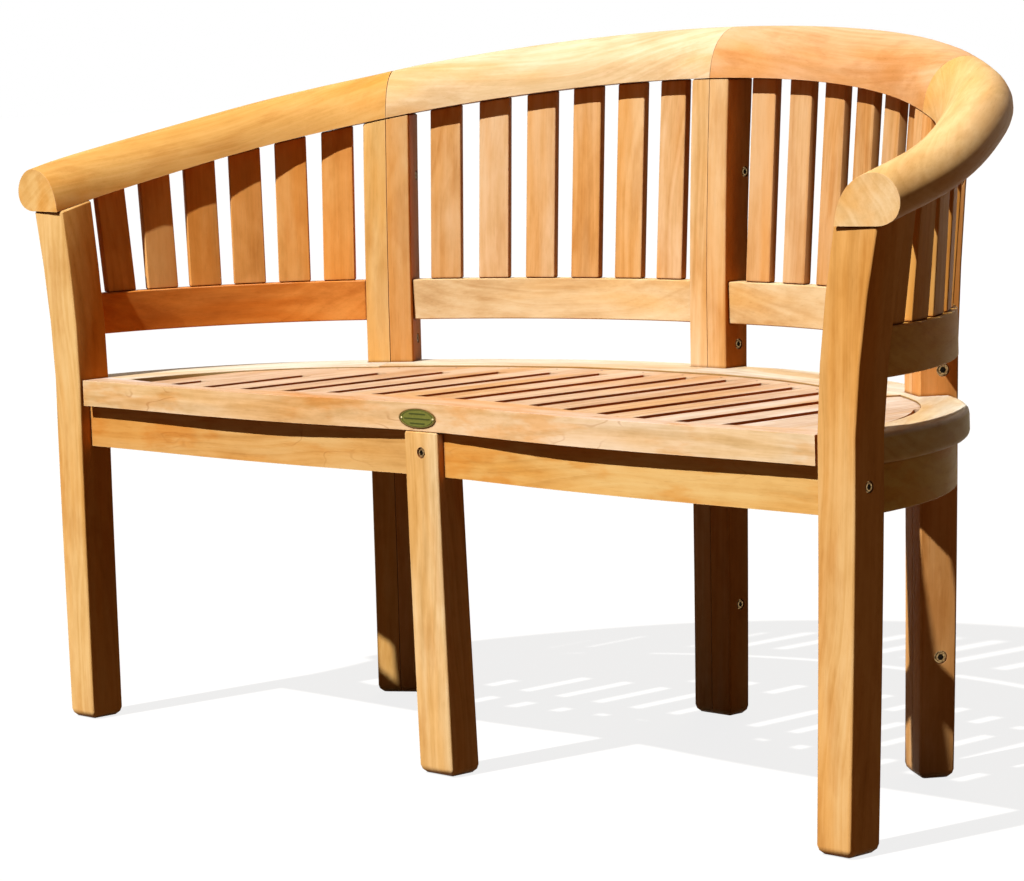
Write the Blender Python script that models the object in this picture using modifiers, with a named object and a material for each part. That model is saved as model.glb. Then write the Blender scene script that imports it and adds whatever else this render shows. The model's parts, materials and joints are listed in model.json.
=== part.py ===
"""Curved garden bench: slatted back swept round a banana shaped seat, on eight posts and a front leg."""
import math

import bmesh
import bpy
from mathutils import Matrix, Vector

# Clearance left between pieces that touch
joint_gap = 0.0003

# Plan of the back, measured along the inner faces of the posts at seat height
pair_width = 0.0626
back_radius = 0.704
end_radius = 0.376
back_turn = math.radians(33.6)
arm_run = 0.0486

# Height of the seat above the floor, and of the back and its rails above the seat
seat_height = 0.4412
back_rise = 0.3608
arm_rise = 0.2138
lower_rail_rise = 0.0553

# Posts
post_depth_foot = 0.036
post_depth_seat = 0.041
post_depth_top = 0.047
post_kick = 0.009
back_post_depth_foot = 0.041
back_post_depth_seat = 0.046
back_post_depth_top = 0.049
centre_lean = 0.018
arm_lean = 0.022
arm_panel_dip = 0.016
arm_post_width = 0.0485
arm_post_inset = 0.009
arm_post_inset_foot = 0.0075
arm_post_proud = 0.005
arm_post_depth_foot = 0.0475
arm_post_depth_seat = 0.053
arm_post_depth_top = 0.0605
arm_post_rake = 0.012
front_leg_width = 0.0573
front_leg_depth_foot = 0.045
front_leg_depth_top = 0.040
front_leg_kick = 0.006
front_leg_proud = 0.002
foot_round = 0.0105
post_round = 0.0025
seam_round = 0.0009

# Rails and back slats
top_rail_width = 0.087
top_rail_thickness = 0.064
top_rail_nose = 0.004
lower_rail_depth = 0.0525
lower_rail_thickness = 0.024
lower_rail_set = 0.008
lower_rail_dip = 0.004
slat_width = 0.042
slat_thickness = 0.012
slat_set_top = 0.017
slat_round = 0.0015
slat_count = 6

# Seat
seat_board_thickness = 0.0326
seat_rim_out = 0.040
seat_rim_in = 0.055
seat_rim_in_right = 0.013
seat_end_slot = 0.008
seat_end_shoulder = 0.0035
seat_shoulder_depth = 0.012
seat_left_slot = 0.0411
seat_slat_gap = 0.021
seat_slot_shift = -0.009
seat_slat_drop = 0.002
seat_slat_strip = 0.060
seat_round = 0.004
seat_rim_round = 0.0075
seat_seam_round = 0.0012
seat_slot_count = 15
apron_depth = 0.053
apron_thickness = 0.022
apron_set = 0.015
apron_side_set = 0.003
batten_width = 0.040
batten_thickness = 0.018
stretcher_width = 0.030

# Shape tables, each a share of the size named beside it
front_edge_shares = (0.0545, 0.0496, 0.0360, 0.0233, 0.0156, 0.0121, 0.0117, 0.0146, 0.0185, 0.0214, 0.0204)
front_inner_shares = (0.1654, 0.1654, 0.1498, 0.1284, 0.1031, 0.0817, 0.0681, 0.0671, 0.0778, 0.0953, 0.1120)
apron_set_shares = (0.60, 0.68, 0.80, 0.92, 1.00, 1.00, 0.98, 0.94, 0.90, 0.86, 0.84)
slat_strip_shares = (1.55, 1.62, 1.34, 1.19, 1.09, 0.98, 0.80, 0.67, 0.58, 0.49, 0.43, 0.39, 0.36, 0.34,
                     0.34)
rail_width_shares = (1.00, 1.00, 1.00, 1.00, 1.00, 0.99, 0.96, 0.94, 0.95, 0.98, 1.00)
rail_thickness_shares = (1.00, 1.00, 1.00, 1.00, 0.995, 0.98, 0.955, 0.925, 0.895, 0.875, 0.87)
rail_section_shares = (
    (0.000, 0.000),
    (0.023, 0.190),
    (0.069, 0.410),
    (0.150, 0.625),
    (0.276, 0.812),
    (0.437, 0.940),
    (0.598, 0.985),
    (0.759, 0.940),
    (0.897, 0.797),
    (0.977, 0.610),
    (1.000, 0.437),
    (0.966, 0.234),
    (0.874, 0.094),
    (0.736, 0.016),
    (0.644, 0.000),
)
fall_straight_share = 0.778
batten_place_shares = (0.28, 0.63)
end_slot_share = 0.30

# Facets used on curved pieces
rail_steps = 16
board_steps = 12
post_steps = 9
edge_steps = 32
half_share = 0.5
sharp_angle = math.radians(40)

front_turn = math.pi * half_share
arc_one = back_radius * back_turn
arc_two = end_radius * (front_turn - back_turn)
half_pair = pair_width * half_share
mark_one = half_pair + arc_one
mark_two = mark_one + pair_width
mark_three = mark_two + arc_two
path_end = mark_three + arm_run
pair_middle = mark_one + half_pair
back_line = arm_run + end_radius * math.cos(back_turn) + pair_width * math.sin(back_turn)
back_line = back_line + back_radius * (1 - math.cos(back_turn))
centre_y = (back_line + centre_lean + top_rail_width) * half_share
crest_height = seat_height + back_rise
crest_fall = back_rise - arm_rise
seat_bottom = seat_height - seat_board_thickness
lower_rail_height = seat_height + lower_rail_rise
lower_rail_top = lower_rail_height + lower_rail_depth
apron_top = seat_bottom - joint_gap
apron_bottom = apron_top - apron_depth


def plan(s, off):
    """Point and outward angle at run s along the right half of the back, moved outward by off."""
    centre_one = Vector((half_pair, back_line - back_radius))
    start_two = centre_one + back_radius * Vector((math.sin(back_turn), math.cos(back_turn)))
    end_two = start_two + pair_width * Vector((math.cos(back_turn), -math.sin(back_turn)))
    centre_two = end_two - end_radius * Vector((math.sin(back_turn), math.cos(back_turn)))
    if s < half_pair:
        point = Vector((s, back_line))
        angle = 0
    elif s < mark_one:
        angle = (s - half_pair) / back_radius
        point = centre_one + back_radius * Vector((math.sin(angle), math.cos(angle)))
    elif s < mark_two:
        angle = back_turn
        point = start_two + (s - mark_one) * Vector((math.cos(angle), -math.sin(angle)))
    elif s < mark_three:
        angle = back_turn + (s - mark_two) / end_radius
        point = centre_two + end_radius * Vector((math.sin(angle), math.cos(angle)))
    else:
        angle = front_turn
        point = centre_two + Vector((end_radius, mark_three - s))
    point = point + off * Vector((math.sin(angle), math.cos(angle)))
    return Vector((point.x, point.y - centre_y)), angle


def run_of(x, y):
    """Run along the back that lies opposite a point of the plan."""
    spot = Vector((abs(x), y + centre_y))
    centre_one = Vector((half_pair, back_line - back_radius))
    start_two = centre_one + back_radius * Vector((math.sin(back_turn), math.cos(back_turn)))
    along = Vector((math.cos(back_turn), -math.sin(back_turn)))
    end_two = start_two + pair_width * along
    centre_two = end_two - end_radius * Vector((math.sin(back_turn), math.cos(back_turn)))
    angle = math.atan2(spot.x - centre_one.x, spot.y - centre_one.y)
    if angle <= 0:
        return spot.x
    if angle <= back_turn:
        return half_pair + back_radius * angle
    travel = (spot - start_two).dot(along)
    if travel <= pair_width:
        return mark_one + travel
    angle = math.atan2(spot.x - centre_two.x, spot.y - centre_two.y)
    if angle <= front_turn:
        return mark_two + end_radius * (angle - back_turn)
    return mark_three + centre_two.y - spot.y


def underside(s):
    """Height of the flat underside of the top rails at run s."""
    bend = fall_straight_share * path_end
    curve = crest_fall / (path_end * path_end * (2 * fall_straight_share - fall_straight_share ** 2))
    if s <= bend:
        return crest_height - curve * s * s
    return crest_height - curve * bend * bend - 2 * curve * bend * (s - bend)


def belly(s):
    """Share of the flattening of the arm panels, 0 at both their ends and 1 midway."""
    place = (s - pair_middle) / (path_end - pair_middle)
    return math.sin(math.pi * min(max(place, 0), 1)) ** 2


def rail_lean(s):
    """Outward set of the inner face of the top rails at run s."""
    steady = centre_lean + (arm_lean - centre_lean) * max(s - half_pair, 0) / (path_end - half_pair)
    return steady - arm_panel_dip * belly(s)


def table_value(shares, place):
    """Smooth value between evenly spaced entries, place from 0 to 1."""
    last = len(shares) - 1
    spot = min(max(place, 0), 1) * last
    index = min(int(spot), last - 1)
    t = spot - index
    before = shares[abs(index - 1)]
    first = shares[index]
    second = shares[index + 1]
    after = shares[min(index + 2, last)]
    slope_a = (second - before) * half_share
    slope_b = (after - first) * half_share
    blend_a = 2 * t ** 3 - 3 * t ** 2 + 1
    blend_b = t ** 3 - 2 * t ** 2 + t
    blend_c = 3 * t ** 2 - 2 * t ** 3
    blend_d = t ** 3 - t ** 2
    return blend_a * first + blend_b * slope_a + blend_c * second + blend_d * slope_b


def spread(first, last, count):
    """Evenly spaced values from first to last, both kept."""
    return [first + (last - first) * i / count for i in range(count + 1)]


def kick(z):
    """Inward set of the posts at a height below the seat."""
    return post_kick * (max(seat_height - z, 0) / seat_height) ** 1.4


def arm_back(z):
    """Run at which the raked arm posts end at a height."""
    return path_end - arm_post_width - arm_post_rake * z / underside(path_end - arm_post_width * half_share)


arm_inner_x = plan(path_end, -max(arm_post_inset, arm_post_inset_foot))[0].x
board_reach = arm_inner_x - kick(seat_bottom) - joint_gap
apron_reach = arm_inner_x - kick(apron_bottom) - joint_gap
arm_back_y = plan(arm_back(seat_height), 0)[0].y
front_y = -centre_y


def front_edge(x):
    """Front edge of the seat board at a distance x from the middle."""
    return front_y + back_line * table_value(front_edge_shares, abs(x) / arm_inner_x)


def front_inner(x):
    """Line where the seat board stops and the slats begin."""
    return front_y + back_line * table_value(front_inner_shares, abs(x) / arm_inner_x)


for leftover in list(bpy.data.objects):
    bpy.data.objects.remove(leftover, do_unlink=True)

bench = bpy.data.collections.new("curved_garden_bench")
bpy.context.scene.collection.children.link(bench)
workshop = bpy.data.collections.new("cutters")
bpy.context.scene.collection.children.link(workshop)

teak_tones = (
    (0.560, 0.290, 0.105),
    (0.600, 0.320, 0.125),
    (0.520, 0.255, 0.090),
    (0.585, 0.300, 0.115),
    (0.540, 0.275, 0.110),
)


def teak(name, index):
    """Own material of one piece, its tone picked from the oiled teak shades."""
    shade = bpy.data.materials.new(name + "_teak")
    shade.use_nodes = True
    surface = shade.node_tree.nodes["Principled BSDF"]
    tone = teak_tones[index % len(teak_tones)]
    surface.inputs["Base Color"].default_value = (tone[0], tone[1], tone[2], 1)
    surface.inputs["Roughness"].default_value = 0.55
    surface.inputs["Metallic"].default_value = 0
    shade.diffuse_color = (tone[0], tone[1], tone[2], 1)
    return shade


def add_piece(name, mesh, collection=bench):
    """Put one closed body in its own named node, with its faces turned outward."""
    body = bmesh.new()
    body.from_mesh(mesh)
    bmesh.ops.remove_doubles(body, verts=body.verts, dist=0.00001)
    bmesh.ops.recalc_face_normals(body, faces=body.faces)
    body.to_mesh(mesh)
    body.free()
    piece = bpy.data.objects.new(name, mesh)
    collection.objects.link(piece)
    if collection is bench:
        piece.data.materials.clear()
        piece.data.materials.append(teak(name, len(bench.objects)))
    return piece


def outline_mesh(name, points, thickness):
    """Flat closed outline in its own plane, filled and thickened evenly to both sides."""
    data = bpy.data.curves.new(name + "_outline", "CURVE")
    data.dimensions = "2D"
    data.fill_mode = "BOTH"
    data.extrude = thickness * half_share
    line = data.splines.new("POLY")
    line.points.add(len(points) - 1)
    for entry, spot in zip(line.points, points):
        entry.co = (spot[0], spot[1], 0, 1)
    line.use_cyclic_u = True
    shape = bpy.data.objects.new(name + "_outline", data)
    bpy.context.scene.collection.objects.link(shape)
    bpy.context.view_layer.update()
    ready = shape.evaluated_get(bpy.context.evaluated_depsgraph_get())
    mesh = bpy.data.meshes.new_from_object(ready)
    mesh.name = name
    bpy.data.objects.remove(shape, do_unlink=True)
    bpy.data.curves.remove(data)
    return mesh


def soften(piece, width, segments, angle):
    """Round the edges sharper than the angle."""
    ease = piece.modifiers.new("eased_edges", "BEVEL")
    ease.width = width
    ease.segments = segments
    ease.limit_method = "ANGLE"
    ease.angle_limit = angle
    ease.use_clamp_overlap = True


def ease_edges(piece, width, segments, chosen):
    """Round the sharp edges of a piece whose two ends the test chooses."""
    body = bmesh.new()
    body.from_mesh(piece.data)
    picked = []
    for edge in body.edges:
        if edge.calc_face_angle() > sharp_angle and chosen(edge.verts[0].co, edge.verts[1].co):
            picked.append(edge)
    bmesh.ops.bevel(body, geom=picked, offset=width, offset_type="OFFSET", segments=segments,
                    profile=half_share, affect="EDGES", clamp_overlap=True)
    body.to_mesh(piece.data)
    body.free()


def ease_post(piece, seam_side, base, along, half_width):
    """Round a post most at its foot, lightly along its edges and hardly where it meets its twin."""
    def in_seam(a, b):
        return all((spot - base).dot(along) * seam_side > half_width for spot in (a, b))

    def at_foot(a, b):
        return max(a.z, b.z) < post_round and not in_seam(a, b)

    ease_edges(piece, foot_round, 3, at_foot)
    ease_edges(piece, post_round, 1, lambda a, b: not in_seam(a, b))
    if seam_side != 0:
        ease_edges(piece, seam_round, 1, in_seam)


def plan_board(name, points, low, high, side, ease=0):
    """Board cut to a plan outline between two heights, mirrored for the left side."""
    mesh = outline_mesh(name, [(side * p[0], p[1]) for p in points], high - low)
    mesh.transform(Matrix.Translation((0, 0, (low + high) * half_share)))
    piece = add_piece(name, mesh)
    if ease > 0:
        soften(piece, ease, 1, math.radians(50))
    return piece


def ease_outside(piece, points, side, width):
    """Round the top and bottom edges along the given run of the outline, and ease all the others."""
    run = [Vector((side * p[0], p[1])) for p in points]

    def on_run(a, b):
        near = all(min((spot.xy - p).length for p in run) < joint_gap for spot in (a, b))
        return near and abs(a.z - b.z) < joint_gap

    ease_edges(piece, width, 3, on_run)
    soften(piece, seat_seam_round, 1, math.radians(50))


def band(start, end, off_in, off_out, count, dip=0):
    """Outline of a strip that follows the back between two runs and two outward sets."""
    inner = [plan(s, off_in - dip * belly(s))[0] for s in spread(start, end, count)]
    outer = [plan(s, off_out - dip * belly(s))[0] for s in spread(end, start, count)]
    return [(p.x, p.y) for p in inner + outer]


def post(name, start, end, side, insets, depths, lean, seam_side=0, rake=0):
    """Curved post between two runs: kicked in at the foot, leaning outward above the seat."""
    middle = (start + end) * half_share
    base, angle = plan(middle, 0)
    reach = underside(middle)
    face = []
    back = []
    for z in spread(0, reach, post_steps):
        if z < seat_height:
            drop = 1 - z / seat_height
            front = -kick(z) - insets[1] - (insets[0] - insets[1]) * math.sqrt(drop)
            depth = depths[1] + (depths[0] - depths[1]) * drop
        else:
            rise = (z - seat_height) / (reach - seat_height)
            front = (lean + insets[1]) * rise ** 1.6 - insets[1]
            depth = depths[1] + (depths[2] - depths[1]) * rise
        face.append((front, z))
        back.append((front + depth, z))
    mesh = outline_mesh(name, face + back[::-1], end - start)
    out = Vector((math.sin(angle) * side, math.cos(angle), 0))
    along = Vector((math.cos(angle) * side, -math.sin(angle), 0))
    turn = Matrix((
        (out.x, 0, along.x, base.x * side),
        (out.y, 0, along.y, base.y),
        (0, 1, 0, 0),
        (0, 0, 0, 1),
    ))
    mesh.transform(turn)
    for vertex in mesh.vertices:
        vertex.co.y += rake * vertex.co.z / reach
        if vertex.co.z > reach * (1 - 0.001):
            vertex.co.z = underside(run_of(vertex.co.x, vertex.co.y)) - joint_gap
    piece = add_piece(name, mesh)
    centre = Vector((base.x * side, base.y, 0))
    ease_post(piece, seam_side, centre, along, (end - start) * half_share - joint_gap)
    return piece


def top_rail(name, start, end, side, nose):
    """Scroll section rail swept round the back, level across and falling towards the arm."""
    section_data = bpy.data.curves.new(name + "_section", "CURVE")
    section_data.dimensions = "2D"
    section_data.resolution_u = 2
    section = section_data.splines.new("BEZIER")
    section.bezier_points.add(len(rail_section_shares) - 1)
    for knot, share in zip(section.bezier_points, rail_section_shares):
        knot.co = (-share[0] * top_rail_width * side, share[1] * top_rail_thickness, 0)
        knot.handle_left_type = "AUTO"
        knot.handle_right_type = "AUTO"
    first = section.bezier_points[0]
    last = section.bezier_points[len(rail_section_shares) - 1]
    first.handle_left_type = "VECTOR"
    first.handle_right_type = "VECTOR"
    last.handle_left_type = "VECTOR"
    last.handle_right_type = "VECTOR"
    section.use_cyclic_u = True
    section_shape = bpy.data.objects.new(name + "_section", section_data)
    workshop.objects.link(section_shape)
    data = bpy.data.curves.new(name + "_path", "CURVE")
    data.dimensions = "3D"
    data.twist_mode = "Z_UP"
    data.bevel_mode = "OBJECT"
    data.bevel_object = section_shape
    data.use_fill_caps = True
    line = data.splines.new("POLY")
    line.points.add(rail_steps)
    for entry, s in zip(line.points, spread(start, end, rail_steps)):
        spot = plan(s, rail_lean(s))[0]
        entry.co = (spot.x * side, spot.y, 0, 1)
        entry.radius = table_value(rail_width_shares, s / path_end)
    shape = bpy.data.objects.new(name + "_path", data)
    bpy.context.scene.collection.objects.link(shape)
    bpy.context.view_layer.update()
    ready = shape.evaluated_get(bpy.context.evaluated_depsgraph_get())
    mesh = bpy.data.meshes.new_from_object(ready)
    mesh.name = name
    for leftover in (shape, section_shape):
        bpy.data.objects.remove(leftover, do_unlink=True)
    for vertex in mesh.vertices:
        s = run_of(vertex.co.x, vertex.co.y)
        slimming = table_value(rail_thickness_shares, s / path_end)
        slimming = slimming / table_value(rail_width_shares, s / path_end)
        vertex.co.z = underside(s) + vertex.co.z * slimming
    piece = add_piece(name, mesh)
    soften(piece, nose, 2, math.radians(70))
    return piece


def back_slat(name, s, side):
    """Flat slat from the lower rail up to the top rail, leaning outward with the posts."""
    base, angle = plan(s, 0)
    out = Vector((math.sin(angle), math.cos(angle)))
    along = Vector((math.cos(angle), -math.sin(angle)))
    low_set = lower_rail_set + (lower_rail_thickness - slat_thickness) * half_share
    low_set = low_set - lower_rail_dip * belly(s)
    high_set = rail_lean(s) + slat_set_top
    body = bmesh.new()
    bmesh.ops.create_cube(body, size=2)
    for vertex in body.verts:
        high = vertex.co.z > 0
        off = high_set if high else low_set
        if vertex.co.y > 0:
            off = off + slat_thickness
        spot = base + out * off + along * (vertex.co.x * slat_width * half_share)
        level = lower_rail_top + joint_gap
        if high:
            level = underside(run_of(spot.x, spot.y)) - joint_gap
        vertex.co = (spot.x * side, spot.y, level)
    mesh = bpy.data.meshes.new(name)
    body.to_mesh(mesh)
    body.free()
    piece = add_piece(name, mesh)
    soften(piece, slat_round, 1, math.radians(50))
    return piece


sides = (("left", -1), ("right", 1))
half_depths = (post_depth_foot, post_depth_seat, post_depth_top)
back_depths = (back_post_depth_foot, back_post_depth_seat, back_post_depth_top)
arm_depths = (arm_post_depth_foot, arm_post_depth_seat, arm_post_depth_top)
flush = (0, 0)
arm_insets = (arm_post_inset_foot, arm_post_inset)
half_gap = joint_gap * half_share
rail_end = path_end - arm_post_rake + top_rail_nose
arm_front = path_end

# Posts, top rails, lower rails and slats of the four back panels
for word, side in sides:
    pair_lean = rail_lean(pair_middle)
    post("centre_post_" + word, half_gap, half_pair, side, flush, half_depths, rail_lean(0), -1)
    post("back_post_" + word + "_inner", mark_one, pair_middle - half_gap, side, flush, back_depths,
         pair_lean, 1)
    post("back_post_" + word + "_outer", pair_middle + half_gap, mark_two, side, flush, back_depths,
         pair_lean, -1)
    post("arm_post_" + word, arm_front - arm_post_width, arm_front, side, arm_insets, arm_depths,
         arm_lean - arm_post_proud, 0, arm_post_rake)
    top_rail("top_rail_" + word + "_back", half_gap, pair_middle - half_gap, side, seam_round)
    top_rail("top_rail_" + word + "_arm", pair_middle + half_gap, rail_end, side, seam_round)
    panels = (
        ("back", half_pair + joint_gap, mark_one - joint_gap),
        ("arm", mark_two + joint_gap, arm_back(crest_height - crest_fall) - joint_gap),
    )
    for panel, start, end in panels:
        rail_stop = end if panel == "back" else arm_back(lower_rail_top) - joint_gap
        back_set = lower_rail_set + lower_rail_thickness
        strip = band(start, rail_stop, lower_rail_set, back_set, board_steps, lower_rail_dip)
        plan_board("lower_rail_" + word + "_" + panel, strip, lower_rail_height, lower_rail_top, side,
                   slat_round)
        room = (end - start - slat_count * slat_width) / (slat_count + 1)
        for i in range(slat_count):
            middle = start + room + slat_width * half_share + i * (slat_width + room)
            back_slat("back_slat_" + word + "_" + panel + "_" + str(i + 1), middle, side)

# Rim boards of the seat, notched round the posts
notch_front = -kick(seat_bottom) - joint_gap
rim_start = pair_middle + half_gap
back_rows = spread(half_gap, pair_middle - half_gap, board_steps)
arm_rows = spread(rim_start, arm_front, board_steps)
for word, side in sides:
    rim_in = seat_rim_in_right if side > 0 else seat_rim_in
    inner = [plan(s, -seat_rim_in)[0] for s in back_rows]
    outer_rows = spread(mark_one - joint_gap, half_pair + joint_gap, board_steps)
    outer = [plan(s, seat_rim_out)[0] for s in outer_rows]
    far_notch = [plan(pair_middle - half_gap, notch_front)[0], plan(mark_one - joint_gap, notch_front)[0]]
    near_notch = [plan(half_pair + joint_gap, notch_front)[0], plan(half_gap, notch_front)[0]]
    points = [(p.x, p.y) for p in inner + far_notch + outer + near_notch]
    rim = plan_board("seat_rim_" + word + "_back", points, seat_bottom, seat_height, side)
    ease_outside(rim, outer, side, seat_rim_round)
    inner = [plan(s, -rim_in)[0] for s in arm_rows]
    corner_x = plan(path_end, -rim_in)[0].x
    corner = Vector((corner_x, front_inner(corner_x) + joint_gap))
    inner = [p for p in inner if p.y > corner.y]
    rim_end = arm_back(seat_height) - joint_gap
    heel = [corner, Vector((board_reach, arm_back_y + joint_gap))]
    outer = [plan(s, seat_rim_out)[0] for s in spread(rim_end, mark_two + joint_gap, board_steps)]
    notch = [plan(mark_two + joint_gap, notch_front)[0], plan(rim_start, notch_front)[0]]
    points = [(p.x, p.y) for p in inner + heel + outer + notch]
    rim = plan_board("seat_rim_" + word + "_arm", points, seat_bottom, seat_height, side)
    ease_outside(rim, outer, side, seat_rim_round)

# Front board of the seat, one piece with two lobes
reach = board_reach
shoulder = reach - seat_end_shoulder
edge = [(x, front_edge(x)) for x in spread(-shoulder, shoulder, edge_steps)]
step_y = front_edge(shoulder) + seat_shoulder_depth
right_end = [(shoulder, step_y), (reach, step_y), (reach, arm_back_y - joint_gap)]
left_end = [(-x, y) for x, y in right_end[::-1]]
right_corner = plan(path_end, -seat_rim_in_right)[0].x
left_corner = -plan(path_end, -seat_rim_in)[0].x
seam = spread(left_corner, right_corner, edge_steps)
panel_left = left_corner + seat_left_slot
seat_slat_pitch = seat_slot_shift + seat_slat_gap * half_share - panel_left
seat_slat_pitch = seat_slat_pitch / ((seat_slot_count + 1) * half_share)
slot_middles = [seat_slot_shift + (i - (seat_slot_count - 1) * half_share) * seat_slat_pitch
                for i in range(seat_slot_count)]
for x in slot_middles:
    seam = seam + [x - seat_slat_gap * half_share, x + seat_slat_gap * half_share]
right_limit = plan(path_end, -(seat_rim_in_right + seat_end_slot))[0].x
seam = sorted(seam + [panel_left, right_limit])
inner = [(x, front_inner(x)) for x in seam[::-1]]
board_outline = edge + right_end + inner + left_end
front_board = plan_board("seat_front_board", board_outline, seat_bottom, seat_height, 1)
ease_outside(front_board, edge, 1, seat_round)

# Slatted panel of the seat, a comb cut from the front with its strip along the rim
panel_top = seat_height - seat_slat_drop
panel_front = []
placed = panel_left
for i, x in enumerate(slot_middles):
    strip_width = seat_slat_strip * table_value(slat_strip_shares, i / (seat_slot_count - 1))
    back_run = 0
    low_run = 0
    high_run = path_end
    for step in range(40):
        back_run = (low_run + high_run) * half_share
        if plan(back_run, -(seat_rim_in + strip_width))[0].x < abs(x):
            low_run = back_run
        else:
            high_run = back_run
    stop = max(plan(back_run, -(seat_rim_in + strip_width))[0].y, front_inner(x) + seat_slat_strip)
    lead = x - seat_slat_gap * half_share
    trail = x + seat_slat_gap * half_share
    panel_front = panel_front + [(p, front_inner(p) + joint_gap) for p in seam if placed <= p <= lead]
    panel_front.append((lead, stop))
    panel_front.append((trail, stop))
    placed = trail
panel_front = panel_front + [(p, front_inner(p) + joint_gap) for p in seam if placed <= p <= right_limit]
slot_row = round(end_slot_share * board_steps)
right_rows = [s for s in arm_rows[::-1] if s >= arm_rows[slot_row]]
panel_right = [plan(s, -(seat_rim_in_right + seat_end_slot))[0] for s in right_rows]
panel_right = [p for p in panel_right if p.y > front_inner(right_limit) + joint_gap * 4]
tight = seat_rim_in_right + joint_gap
panel_right = panel_right + [plan(s, -tight)[0] for s in arm_rows[slot_row::-1]]
deep = seat_rim_in + joint_gap
panel_right = panel_right + [plan(s, -deep)[0] for s in back_rows[::-1]]
panel_rear = [plan(s, -deep)[0] for s in back_rows + arm_rows]
panel_rear_left = [(-p.x, p.y) for p in panel_rear if -p.x > panel_left]
inside = panel_rear[len(panel_rear_left) - 1]
outside = panel_rear[len(panel_rear_left)]
part_way = (-panel_left - inside.x) / (outside.x - inside.x)
panel_rear_left.append((panel_left, inside.y + (outside.y - inside.y) * part_way))
comb = panel_front + [(p.x, p.y) for p in panel_right] + panel_rear_left
plan_board("seat_slat_panel", comb, seat_bottom, panel_top, 1, slat_round)

# Aprons under the seat
leg_half = front_leg_width * half_share
for word, side in sides:
    span = spread(leg_half + joint_gap, apron_reach, edge_steps)
    face = [(x, front_edge(x) + apron_set * table_value(apron_set_shares, x / arm_inner_x)) for x in span]
    rear_face = [(x, y + apron_thickness) for x, y in face[::-1]]
    plan_board("apron_front_" + word, face + rear_face, apron_bottom, apron_top, side, slat_round)
    strip = band(half_pair + joint_gap, mark_one - joint_gap, apron_side_set,
                 apron_side_set + apron_thickness, board_steps)
    plan_board("apron_" + word + "_back", strip, apron_bottom, apron_top, side, slat_round)
    strip = band(mark_two + joint_gap, arm_back(apron_top) - joint_gap, apron_side_set,
                 apron_side_set + apron_thickness, board_steps)
    plan_board("apron_" + word + "_arm", strip, apron_bottom, apron_top, side, slat_round)

# Middle leg at the front
leg_front = front_edge(0) - front_leg_proud
profile = []
rear_profile = []
for z in spread(0, seat_bottom - joint_gap, post_steps):
    drop = 1 - z / seat_bottom
    front = leg_front + front_leg_kick * drop ** 1.5
    depth = front_leg_depth_top + (front_leg_depth_foot - front_leg_depth_top) * drop
    profile.append((front, z))
    rear_profile.append((front + depth, z))
leg_mesh = outline_mesh("front_leg_centre", profile + rear_profile[::-1], front_leg_width)
leg_mesh.transform(Matrix(((0, 0, 1, 0), (1, 0, 0, 0), (0, 1, 0, 0), (0, 0, 0, 1))))
leg = add_piece("front_leg_centre", leg_mesh)
ease_post(leg, 0, Vector((0, 0, 0)), Vector((1, 0, 0)), leg_half)


def box_mesh(name, low, high):
    """Plain block between two corners."""
    body = bmesh.new()
    bmesh.ops.create_cube(body, size=1)
    middle = (Vector(low) + Vector(high)) * half_share
    for vertex in body.verts:
        vertex.co = Vector((
            middle.x + vertex.co.x * (high[0] - low[0]),
            middle.y + vertex.co.y * (high[1] - low[1]),
            middle.z + vertex.co.z * (high[2] - low[2]),
        ))
    mesh = bpy.data.meshes.new(name)
    body.to_mesh(mesh)
    body.free()
    return mesh


# Stretcher from the middle leg to the centre posts, lapped over the battens
stretcher_start = leg_front + front_leg_depth_top + joint_gap
drop_share = apron_depth / seat_bottom
leg_growth = front_leg_depth_foot - front_leg_depth_top + front_leg_kick
stretcher_start = stretcher_start + leg_growth * drop_share
stretcher_end = back_line - centre_y - kick(apron_bottom) - joint_gap
stretcher = add_piece("seat_stretcher", box_mesh(
    "seat_stretcher",
    (-stretcher_width * half_share, stretcher_start, apron_bottom),
    (stretcher_width * half_share, stretcher_end, apron_top),
))
batten_low = apron_top - batten_thickness
for place, word in zip(batten_place_shares, ("front", "back")):
    middle_y = front_y + back_line * place
    near = middle_y - batten_width * half_share
    far = middle_y + batten_width * half_share
    reach_x = arm_inner_x
    low_run = 0
    high_run = path_end
    for step in range(40):
        middle = (low_run + high_run) * half_share
        if plan(middle, apron_side_set - joint_gap)[0].y > far:
            low_run = middle
        else:
            high_run = middle
    reach_x = plan(low_run, apron_side_set - joint_gap)[0].x
    add_piece("seat_batten_" + word, box_mesh(
        "seat_batten_" + word,
        (-reach_x, near, batten_low),
        (reach_x, far, apron_top),
    ))
    cutter = add_piece("batten_lap_" + word, box_mesh(
        "batten_lap_" + word,
        (-stretcher_width, near - joint_gap, batten_low - joint_gap),
        (stretcher_width, far + joint_gap, apron_top + batten_thickness),
    ), workshop)
    cutter.hide_render = True
    cutter.display_type = "WIRE"
    lap = stretcher.modifiers.new("lap_" + word, "BOOLEAN")
    lap.operation = "DIFFERENCE"
    lap.solver = "EXACT"
    lap.object = cutter
soften(stretcher, slat_round, 1, math.radians(50))
for word in ("front", "back"):
    soften(bpy.data.objects["seat_batten_" + word], slat_round, 1, math.radians(50))
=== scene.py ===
"""Looks of the curved garden bench: oiled teak, sunk bolts, nails, a bare oval plate and a pale studio."""
import json
import math
import random

import bmesh
import bpy
import numpy as np
from mathutils import Matrix, Vector
from mathutils.bvhtree import BVHTree

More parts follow.
